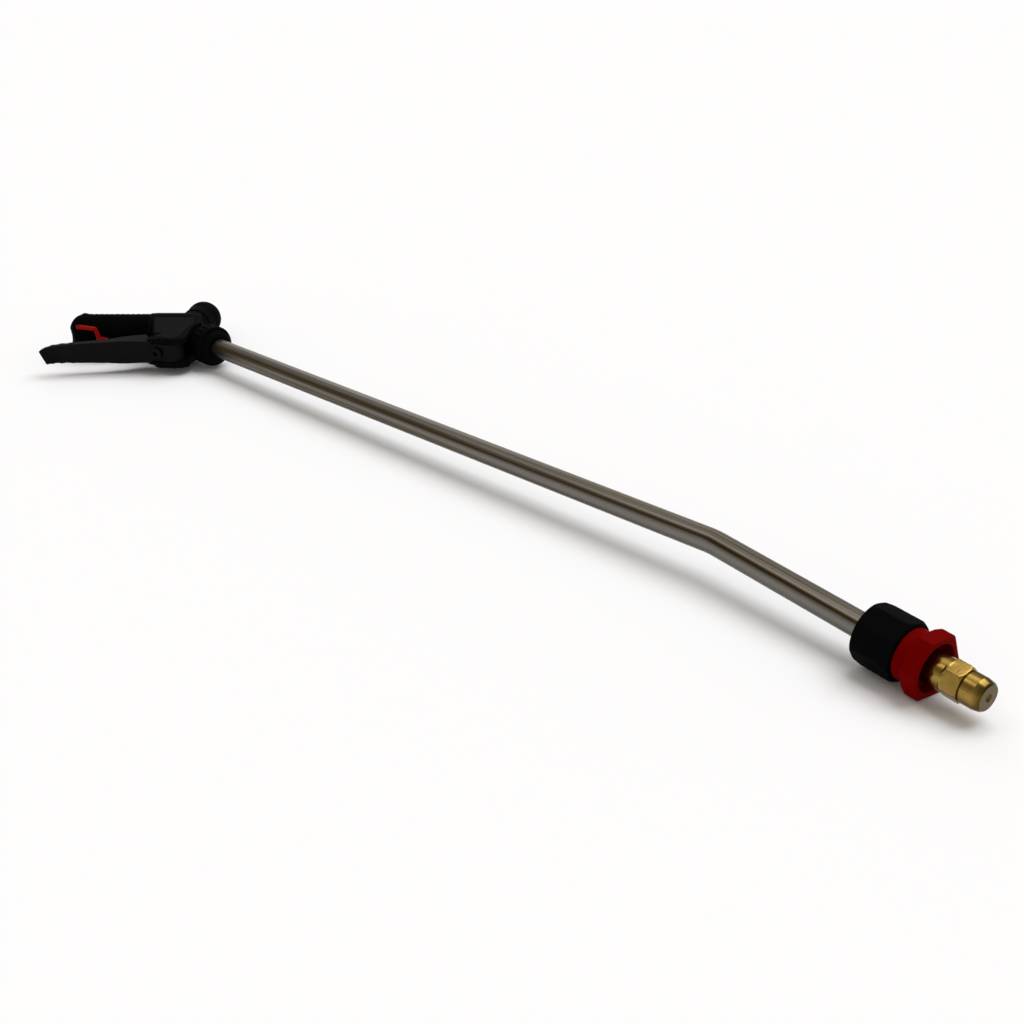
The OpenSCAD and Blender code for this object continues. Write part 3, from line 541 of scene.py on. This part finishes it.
LOWER_CHEEK_Y = -20
CHEEK_TOP_Y, CHEEK_TOP_Z, CHEEK_TAPER = -2, 15.2, 0.085
CORNER_X, CORNER_Z, CORNER_SLOPE = -17, 9.3, 0.27
CORNER_END_Y, CORNER_START_Y, CORNER_FREE = -28, -36, 20


def lower_rear(x, y):
    return x < 0 and y < LOWER_CHEEK_Y


def cheek_z(y):
    """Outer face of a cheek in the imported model, which leans inward as it goes down."""
    return CHEEK_TOP_Z - CHEEK_TAPER * (CHEEK_TOP_Y - y)


def cheek_limit(x, y):
    """How far a cheek may stand from the middle: less toward its lower rear corner."""
    slope = CORNER_Z + CORNER_SLOPE * max(0.0, x - CORNER_X)
    return slope + CORNER_FREE * ease(y, CORNER_START_Y, CORNER_END_Y)


def reshape_cheek(x, y, z):
    """Draws a cheek's outer face in to its limit."""
    limit = cheek_limit(x, y)
    if abs(z) > limit and lower_rear(x, y):
        z = limit if z > 0 else -limit
    return x, y, z


def reshape_plate(x, y, z):
    """The plates follow the cheeks, so both faces of a plate move alike."""
    over = max(0.0, cheek_z(y) - cheek_limit(x, y)) if lower_rear(x, y) else 0.0
    return x, y, z - over if z > 0 else z + over


def add_cheek_heels(bm):
    """Thin lips on the cheeks that run back along the sides of the lever."""
    outline = [(-13.6, -33.5), (-17.4, -36.5), (-18.4, -40.5), (-17.2, -43.6), (-12.6, -44.2)]
    corners = [(ELBOW.x + x * MM, y * MM) for x, y in outline]
    inner, outer = CORNER_Z * MM, 10.4 * MM
    for low, high in ((inner, outer), (-outer, -inner)):
        slab(bm, corners, low, high)


# ---------------------------------------------------------------- nozzle mouldings

NUT_BACK, NUT_FRONT = 108.5, 134.7
SHORT_NUT_BACK, SHORT_NUT_FRONT = 107.8, 132.0
NUT_EXTRA_R = 1.4
NUT_BORE_END_R, NUT_OUTSIDE_R = 12.0, 13.2


def reshape_nozzle_nut(x, y, z):
    """A stouter nut that ends sooner, so that more of the holder's collar shows."""
    place = ELBOW / MM + Vector((x, y, z)) - BEND_CORNER / MM
    along = place.dot(NOZZLE_AXIS)
    radial = place - NOZZLE_AXIS * along
    stout = 1 + NUT_EXTRA_R * ease(radial.length, NUT_BORE_END_R, NUT_OUTSIDE_R) / radial.length
    share = (along - NUT_BACK) / (NUT_FRONT - NUT_BACK)
    moved_along = SHORT_NUT_BACK + share * (SHORT_NUT_FRONT - SHORT_NUT_BACK)
    moved = BEND_CORNER / MM + NOZZLE_AXIS * moved_along + radial * stout - ELBOW / MM
    return moved.x, moved.y, moved.z


def add_holder_collar(bm):
    """The collar of the holder reaches back to the shortened nut."""
    back, front = 132.3, 135.3
    bore_r, rim_r = 11.0, 13.8
    outline = [(back, bore_r), (front, bore_r), (front, rim_r), (back, rim_r)]
    turned_ring(bm, NOZZLE_FRAME, outline)


def make_nozzle_shoulder():
    """Brass shoulder on the nozzle body that the cap runs up to."""
    bm = bmesh.new()
    outline = [(165.2, 6.2), (165.7, 6.2), (165.7, 7.5), (165.6, 7.6), (165.2, 7.6)]
    turned_ring(bm, NOZZLE_FRAME, outline)
    mesh = finished("nozzle_shoulder", bm, 30)
    put("nozzle_shoulder", mesh, NOZZLE_BRASS, "lance")


# ---------------------------------------------------------------- lance tube

TUBE_R = 7 * MM
TUBE_BORE_R = 6 * MM
TUBE_LIP = 0.25 * MM
BEND_R = 60 * MM
TUBE_START = 42 * MM
TUBE_END_PAST_CORNER = 122 * MM
STREAKS_AROUND = 0.5 / MM
STREAKS_ALONG = 2.2


def lance_path():
    """Stations on the tube's centre line, each a point and the tube's direction there."""
    straight, turns, beyond = 40, 8, 12
    angle = LANCE_AXIS.angle(NOZZLE_AXIS)
    start = ELBOW + LANCE_AXIS * TUBE_START
    bend_start = BEND_CORNER - LANCE_AXIS * (BEND_R * tan(angle / 2))
    side = (NOZZLE_AXIS - LANCE_AXIS * NOZZLE_AXIS.dot(LANCE_AXIS)).normalized()
    centre = bend_start + side * BEND_R
    end = BEND_CORNER + NOZZLE_AXIS * TUBE_END_PAST_CORNER
    stations = [(start.lerp(bend_start, k / straight), LANCE_AXIS) for k in range(straight)]
    for k in range(turns + 1):
        a = angle * k / turns
        radial = -side * cos(a) + LANCE_AXIS * sin(a)
        stations.append((centre + radial * BEND_R, LANCE_AXIS * cos(a) + side * sin(a)))
    bend_end = stations[-1][0]
    stations += [(bend_end.lerp(end, k / beyond), NOZZLE_AXIS) for k in range(1, beyond + 1)]
    return stations


def make_lance_tube():
    """The tube with a true round section, and an attribute that runs along it for its streaks."""
    around = 72
    path = lance_path()
    across = LANCE_AXIS.orthogonal().normalized()
    stations = []
    length = 0.0
    last = path[0][0]
    for point, heading in path:
        length += (point - last).length
        last = point
        x = (across - heading * across.dot(heading)).normalized()
        stations.append((point, x, heading.cross(x), length))
    rows, drawn = [], []
    for radius, run in ((TUBE_R, stations), (TUBE_BORE_R, reversed(stations))):
        for point, x, y, length in run:
            turns = [(cos(2 * pi * k / around) * radius, sin(2 * pi * k / around) * radius)
                     for k in range(around)]
            rows.append([point + x * a + y * b for a, b in turns])
            drawn += [(a * STREAKS_AROUND, b * STREAKS_AROUND, length * STREAKS_ALONG)
                      for a, b in turns]
    for index in (0, len(path) - 1):
        rows[index] = [place.lerp(path[index][0], TUBE_LIP / TUBE_R) for place in rows[index]]
    mesh = sweep("lance_tube_drawn", rows, 40)
    marks = mesh.attributes.new("drawn", "FLOAT_VECTOR", "POINT")
    for mark, value in zip(marks.data, drawn):
        mark.vector = value
    piece = put("lance_tube_drawn", mesh, TUBE_STEEL, "lance")
    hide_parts("lance_tube")


# ---------------------------------------------------------------- small detail


def make_inlet_thread():
    """Thread in the hose inlet: one helical ridge with a flat-topped section."""
    pitch, turns, steps = 1.337 * MM, 6.6, 40
    wall_r, depth, rooted = 5.72 * MM, 0.5 * MM, 0.05 * MM
    half_foot, half_crest = 0.52 * MM, 0.09 * MM
    start_x = 0.6 * MM
    count = int(turns * steps)
    rows = []
    for k in range(count + 1):
        a = 2 * pi * k / steps
        fade = min(1.0, k / steps * 2, (count - k) / steps * 2)
        foot, crest = wall_r + rooted, wall_r - depth * max(fade, 0.05)
        x = start_x + pitch * k / steps
        section = [(foot, -half_foot), (crest, -half_crest), (crest, half_crest), (foot, half_foot)]
        rows.append([Vector((x + dx, r * cos(a), r * sin(a))) for r, dx in section])
    mesh = sweep("inlet_thread", rows, 30, closed=False)
    put("inlet_thread", mesh, BRASS, "handle")


def make_wound_spring():
    """The valve spring as wound, in place of the imported one."""
    mesh = frame["nodes"]["valve_spring"].data.copy()
    mesh.name = "valve_spring_wound"
    shade_smooth(mesh, radians(40))
    piece = put("valve_spring_wound", mesh, VALVE_STEEL, "handle")
    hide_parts("valve_spring")
    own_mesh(piece)


def make_lever_rib():
    """Cross rib that stiffens the hollow back of the lever, ahead of the catch's tongue."""
    back, half = 34, 6.1 * MM
    thick, rise = 0.6 * MM, 3.4 * MM
    x, low = ELBOW.x - back * MM, -43.0 * MM
    top, high = thick * 0.7, low + rise
    bm = bmesh.new()
    slab(bm, [(x - thick, low), (x + thick, low), (x + top, high), (x - top, high)], -half, half)
    mesh = finished("lever_rib", bm, 30)
    put("lever_rib", mesh, LEVER_BLACK, "trigger")


# ---------------------------------------------------------------- building

# node: voxel of its skin in millimetres, rounds of smoothing, share of its faces kept,
# how it is reshaped, and what is added to it
MOULDINGS = {
    "valve_body": (0.42, 3, 0.6, reshape_cheek, add_cheek_heels),
    "trigger_lever": (0.36, 3, 0.6, reshape_lever, None),
    "lock_catch": (0.16, 3, 0.5, reshape_catch, None),
    "bonnet_cap": (0.26, 2, 0.5, None, None),
    "lance_nut": (0.28, 2, 0.5, None, None),
    "nozzle_nut": (0.30, 4, 0.5, reshape_nozzle_nut, None),
    "nozzle_holder": (0.26, 3, 0.5, None, add_holder_collar),
    "nozzle_body": (0.20, 3, 0.5, None, None),
    "side_plates": (0.22, 6, 0.4, reshape_plate, None),
}


def build():
    finish_nodes()
    for node, settings in MOULDINGS.items():
        soften(node, *settings)
    make_nozzle_shoulder()
    make_lance_tube()
    make_inlet_thread()
    make_lever_rib()
    make_wound_spring()


# ---------------------------------------------------------------- camera, floor and light


def make_camera():
    data = bpy.data.cameras.new("camera")
    data.lens, data.sensor_width = 49.22, 36
    camera = bpy.data.objects.new("camera", data)
    camera.location = (0.33842, -1.04212, 0.33824)
    camera.rotation_euler = (radians(64.77), 0, 0)
    bpy.context.scene.collection.objects.link(camera)
    bpy.context.scene.camera = camera


FLOOR_SIZE = 40
FLOOR_WHITE = (0.932, 0.944, 0.978)


def lowest_point(node):
    vertices = frame["nodes"][node].data.vertices
    return min((vertex.co for vertex in vertices), key=lambda place: place.z).copy()


def make_floor():
    """A wide pale sheet that touches the grip's rim and the nozzle holder."""
    under_grip, under_holder = lowest_point("hand_grip"), lowest_point("nozzle_holder")
    run = under_holder - under_grip
    across = Vector((-run.y, run.x, 0)).normalized()
    normal = run.cross(across).normalized()
    normal = normal if normal.z > 0 else -normal
    bpy.ops.mesh.primitive_plane_add(size=FLOOR_SIZE)
    floor = bpy.context.object
    floor.name = "floor"
    floor.rotation_mode = "QUATERNION"
    floor.rotation_quaternion = Vector((0, 0, 1)).rotation_difference(normal)
    floor.location = (under_grip + under_holder) / 2
    material, _, shader = new_material("floor_sheet")
    shader.inputs["Base Color"].default_value = rgba(FLOOR_WHITE)
    shader.inputs["Roughness"].default_value = 0.9
    shader.inputs["Specular IOR Level"].default_value = 0.0
    floor.data.materials.append(material)


def toward(azimuth, elevation):
    """Direction with its azimuth from +Y toward +X, in degrees."""
    az, el = radians(azimuth), radians(elevation)
    return (cos(el) * sin(az), cos(el) * cos(az), sin(el))


# height of a direction: colour of the room there
ROOM_WHITE, ROOM_MIDDLE, ROOM_CEILING = (0.93, 0.93, 0.93), (0.50, 0.47, 0.42), (0.30, 0.29, 0.27)
ROOM = [(0.10, ROOM_WHITE), (0.36, ROOM_MIDDLE), (0.95, ROOM_CEILING)]
# azimuth and elevation of a patch, its full and its outer angle, its colour
PATCHES = [
    (-74, 24, 14, 28, (0.17, 0.10, 0.02)),
    (38, 10, 12, 26, (0.20, 0.18, 0.15)),
    (0, 7, 9, 18, (0.68, 0.67, 0.64)),
    (-100, 2, 7, 16, (0.62, 0.60, 0.54)),
    (-6, 35, 7, 17, (1.55, 1.52, 1.46)),
    (-74, 57, 5, 14, (2.3, 2.15, 2.0)),
    (-12, 71, 6, 17, (1.6, 1.55, 1.45)),
]
BACKDROP = (0.97, 0.97, 0.97)
SUN_ENERGY, SUN_SPREAD = 1.88, 50
SUN_PLACE = (60, 64)


def add_patch(g, heading, room, azimuth, elevation, inner, outer, colour):
    """A round patch of the room, lighter or darker: full inside the inner angle, gone outside."""
    facing = g.dot(heading, toward(azimuth, elevation))
    mask = g.remap(facing, cos(radians(outer)), cos(radians(inner)), 0.0, 1.0)
    return g.mix(mask, room, rgba(colour))


def make_world():
    """A room with white walls and a dim warm ceiling, darker patches low down, three diffusers."""
    world = bpy.data.worlds.new("studio")
    bpy.context.scene.world = world
    world.use_nodes = True
    g = Graph(world.node_tree)
    heading = g.add("TexCoord").outputs["Generated"]
    ramp = g.add("ValToRGB", {0: g.add("SeparateXYZ", {0: heading}).outputs[2]})
    stops = ramp.color_ramp.elements
    stops.new(0.5)
    for stop, (height, colour) in zip(stops, ROOM):
        stop.position, stop.color = height, rgba(colour)
    room = ramp.outputs[0]
    for patch in PATCHES:
        room = add_patch(g, heading, room, *patch)
    seen = g.add("LightPath").outputs["Is Camera Ray"]
    background = world.node_tree.nodes["Background"]
    g.tree.links.new(g.mix(seen, room, rgba(BACKDROP)), background.inputs[0])


def make_sun():
    """Soft daylight from behind on the right; with the room, a level sheet shows its own colour."""
    data = bpy.data.lights.new("window", "SUN")
    data.energy, data.angle = SUN_ENERGY, radians(SUN_SPREAD)
    lamp = bpy.data.objects.new("window", data)
    lamp.rotation_mode = "QUATERNION"
    lamp.rotation_quaternion = Vector(toward(*SUN_PLACE)).to_track_quat("Z", "Y")
    bpy.context.scene.collection.objects.link(lamp)


def light_scene():
    make_sun()
    make_world()
    bpy.context.scene.view_settings.view_transform = "Standard"


build()
make_camera()
make_floor()
light_scene()
